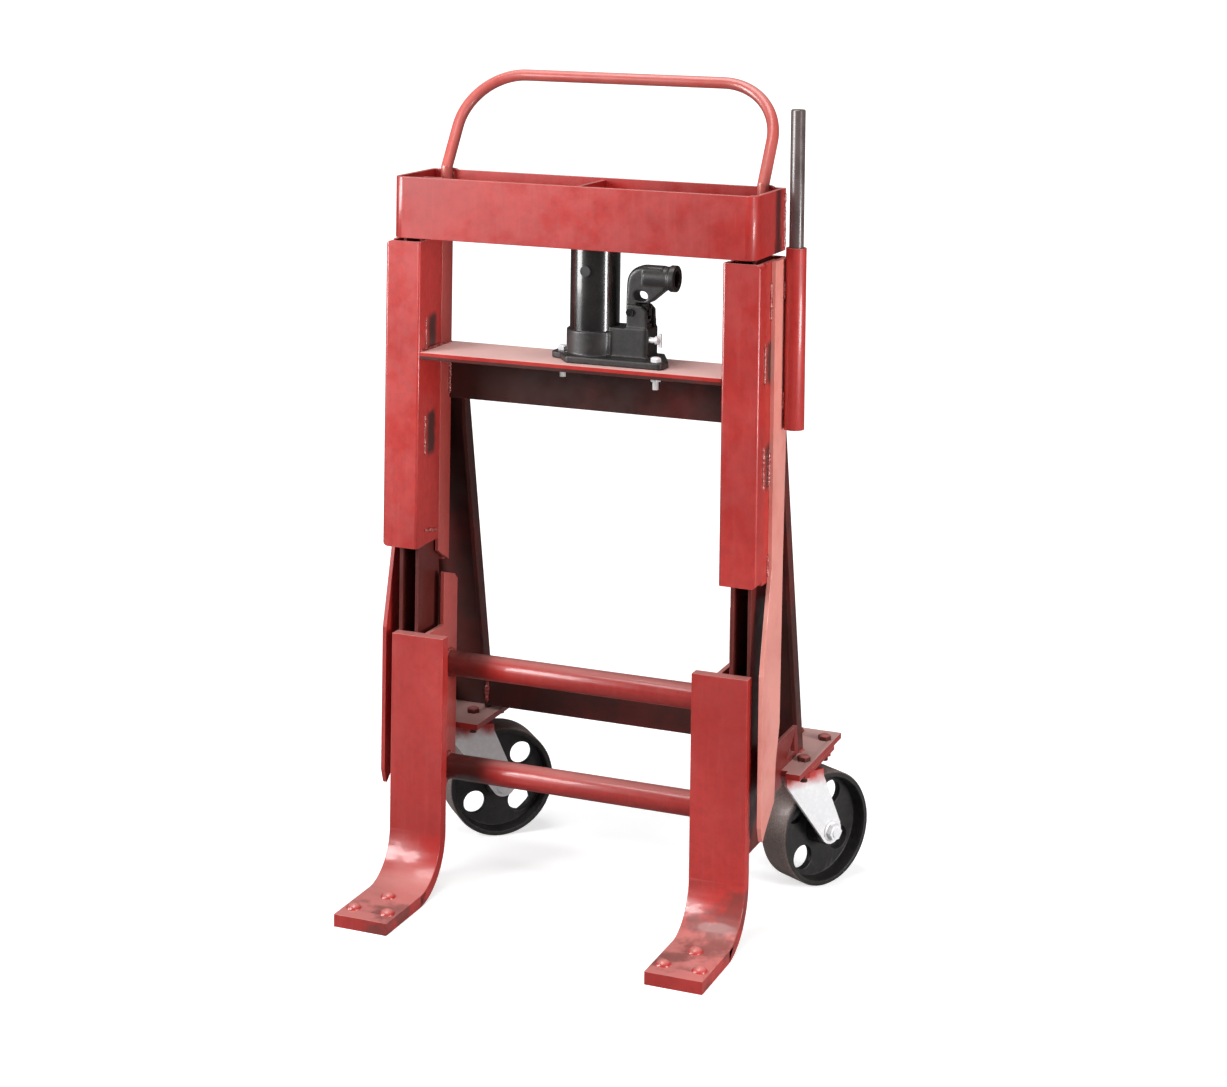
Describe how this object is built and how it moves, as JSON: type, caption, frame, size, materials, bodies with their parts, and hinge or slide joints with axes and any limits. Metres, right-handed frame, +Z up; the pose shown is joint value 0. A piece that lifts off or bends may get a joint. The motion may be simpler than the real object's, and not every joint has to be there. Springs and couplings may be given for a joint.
{
  "type": "wheeled hydraulic lift stand",
  "caption": "Wheeled lift stand: a bottle jack raises a toe-bar carriage inside a fixed post frame on rear swivel casters.",
  "frame": {"origin": "centre of the floor rectangle under the whole stand at rest", "axes": "+Z up, +Y to the rear (the casters' side), +X to the side that carries the pump handle"},
  "size_m": [0.6178, 0.479, 1.089],
  "materials": {
    "red_enamel": "brushed-on red gloss enamel, worn at the edges",
    "black_enamel": "black satin enamel",
    "zinc_plated_steel": "bright zinc plating with overspray",
    "black_cast_iron": "black painted casting, polished by rolling",
    "polished_rod": "polished",
    "seal_rubber": "matte",
    "plain_steel": "oiled machined steel"
  },
  "bodies": {
    "base_frame": {"left_guide_post": "red_enamel", "right_guide_post": "red_enamel", "left_side_plate": "red_enamel", "right_side_plate": "red_enamel", "rear_masts": "red_enamel", "left_diagonal_brace": "red_enamel", "right_diagonal_brace": "red_enamel", "jack_crossbeam": "red_enamel", "rear_crossmember": "red_enamel", "left_caster_mount": "red_enamel", "right_caster_mount": "red_enamel", "caster_gussets": "red_enamel", "handle_holder_tube": "red_enamel", "handle_holder_brackets": "red_enamel", "caster_plate_bolts": "zinc_plated_steel", "caster_plate_nuts": "zinc_plated_steel", "jack_base": "black_enamel", "check_valve_balls": "plain_steel", "jack_reservoir": "black_enamel", "filler_plug": "seal_rubber", "jack_cylinder": "plain_steel", "jack_top_nut": "black_enamel", "jack_clamp_bolts": "zinc_plated_steel", "jack_clamp_nuts": "zinc_plated_steel", "pump_barrel": "plain_steel", "fulcrum_pin": "plain_steel", "left_caster_plate": "zinc_plated_steel", "right_caster_plate": "zinc_plated_steel"},
    "lift_carriage": {"beam_front_channel": "red_enamel", "beam_rear_plate": "red_enamel", "beam_divider": "red_enamel", "ram_seat": "red_enamel", "grip_handle": "red_enamel", "left_column": "red_enamel", "right_column": "red_enamel", "left_toe_bar": "red_enamel", "right_toe_bar": "red_enamel", "tube_plates": "red_enamel", "upper_cross_tube": "red_enamel", "lower_cross_tube": "red_enamel", "toe_studs": "red_enamel"},
    "ram": {"ram_rod": "polished_rod", "ram_seal": "seal_rubber", "ram_saddle": "black_enamel"},
    "pump_lever": {"pump_socket": "black_enamel"},
    "plunger": {"pump_plunger": "polished_rod", "plunger_pin": "plain_steel"},
    "release_screw": {"release_valve": "zinc_plated_steel"},
    "pump_handle": {"pump_handle_rod": "black_enamel"},
    "left_swivel": {"left_caster_fork": "zinc_plated_steel", "left_swivel_bearing": "plain_steel", "left_caster_axle": "zinc_plated_steel"},
    "left_roller": {"left_caster_wheel": "black_cast_iron", "left_wheel_bearing": "plain_steel"},
    "right_swivel": {"right_caster_fork": "zinc_plated_steel", "right_swivel_bearing": "plain_steel", "right_caster_axle": "zinc_plated_steel"},
    "right_roller": {"right_caster_wheel": "black_cast_iron", "right_wheel_bearing": "plain_steel"}
  },
  "joints": [
    {"name": "carriage_lift", "type": "slide", "parent": "base_frame", "child": "lift_carriage", "axis": [0, 0, 1], "range_m": [0, 0.114]},
    {"name": "ram_stroke", "type": "slide", "parent": "base_frame", "child": "ram", "axis": [0, 0, 1], "range_m": [0, 0.114]},
    {"name": "pump_stroke", "type": "hinge", "parent": "base_frame", "child": "pump_lever", "pos_m": [0.05412, -0.03051, 0.787], "axis": [0, 1, 0], "range_deg": [-21, 0]},
    {"name": "plunger_travel", "type": "slide", "parent": "base_frame", "child": "plunger", "axis": [0, 0, 1], "range_m": [0, 0.0054]},
    {"name": "release_turn", "type": "hinge", "parent": "base_frame", "child": "release_screw", "pos_m": [0.09513, -0.04251, 0.752], "axis": [1, 0, 0], "range_deg": [0, 180]},
    {"name": "handle_lift_out", "type": "slide", "parent": "base_frame", "child": "pump_handle", "axis": [0, 0, 1], "range_m": [0, 0.2]},
    {"name": "left_caster_swivel", "type": "hinge", "parent": "base_frame", "child": "left_swivel", "pos_m": [-0.25788, 0.11749, 0.17], "axis": [0, 0, 1], "continuous": true},
    {"name": "left_wheel_spin", "type": "hinge", "parent": "left_swivel", "child": "left_roller", "pos_m": [-0.21923, 0.15228, 0.0762], "axis": [-0.6691, 0.7431, 0], "continuous": true},
    {"name": "right_caster_swivel", "type": "hinge", "parent": "base_frame", "child": "right_swivel", "pos_m": [0.22412, 0.11749, 0.17], "axis": [0, 0, 1], "continuous": true},
    {"name": "right_wheel_spin", "type": "hinge", "parent": "right_swivel", "child": "right_roller", "pos_m": [0.25012, 0.16252, 0.0762], "axis": [-0.866, 0.5, 0], "continuous": true}
  ],
  "couplings": [
    {"joint": "ram_stroke", "follows": "carriage_lift", "ratio": 1},
    {"joint": "plunger_travel", "follows": "pump_stroke", "m_per_rad": -0.0147}
  ]
}
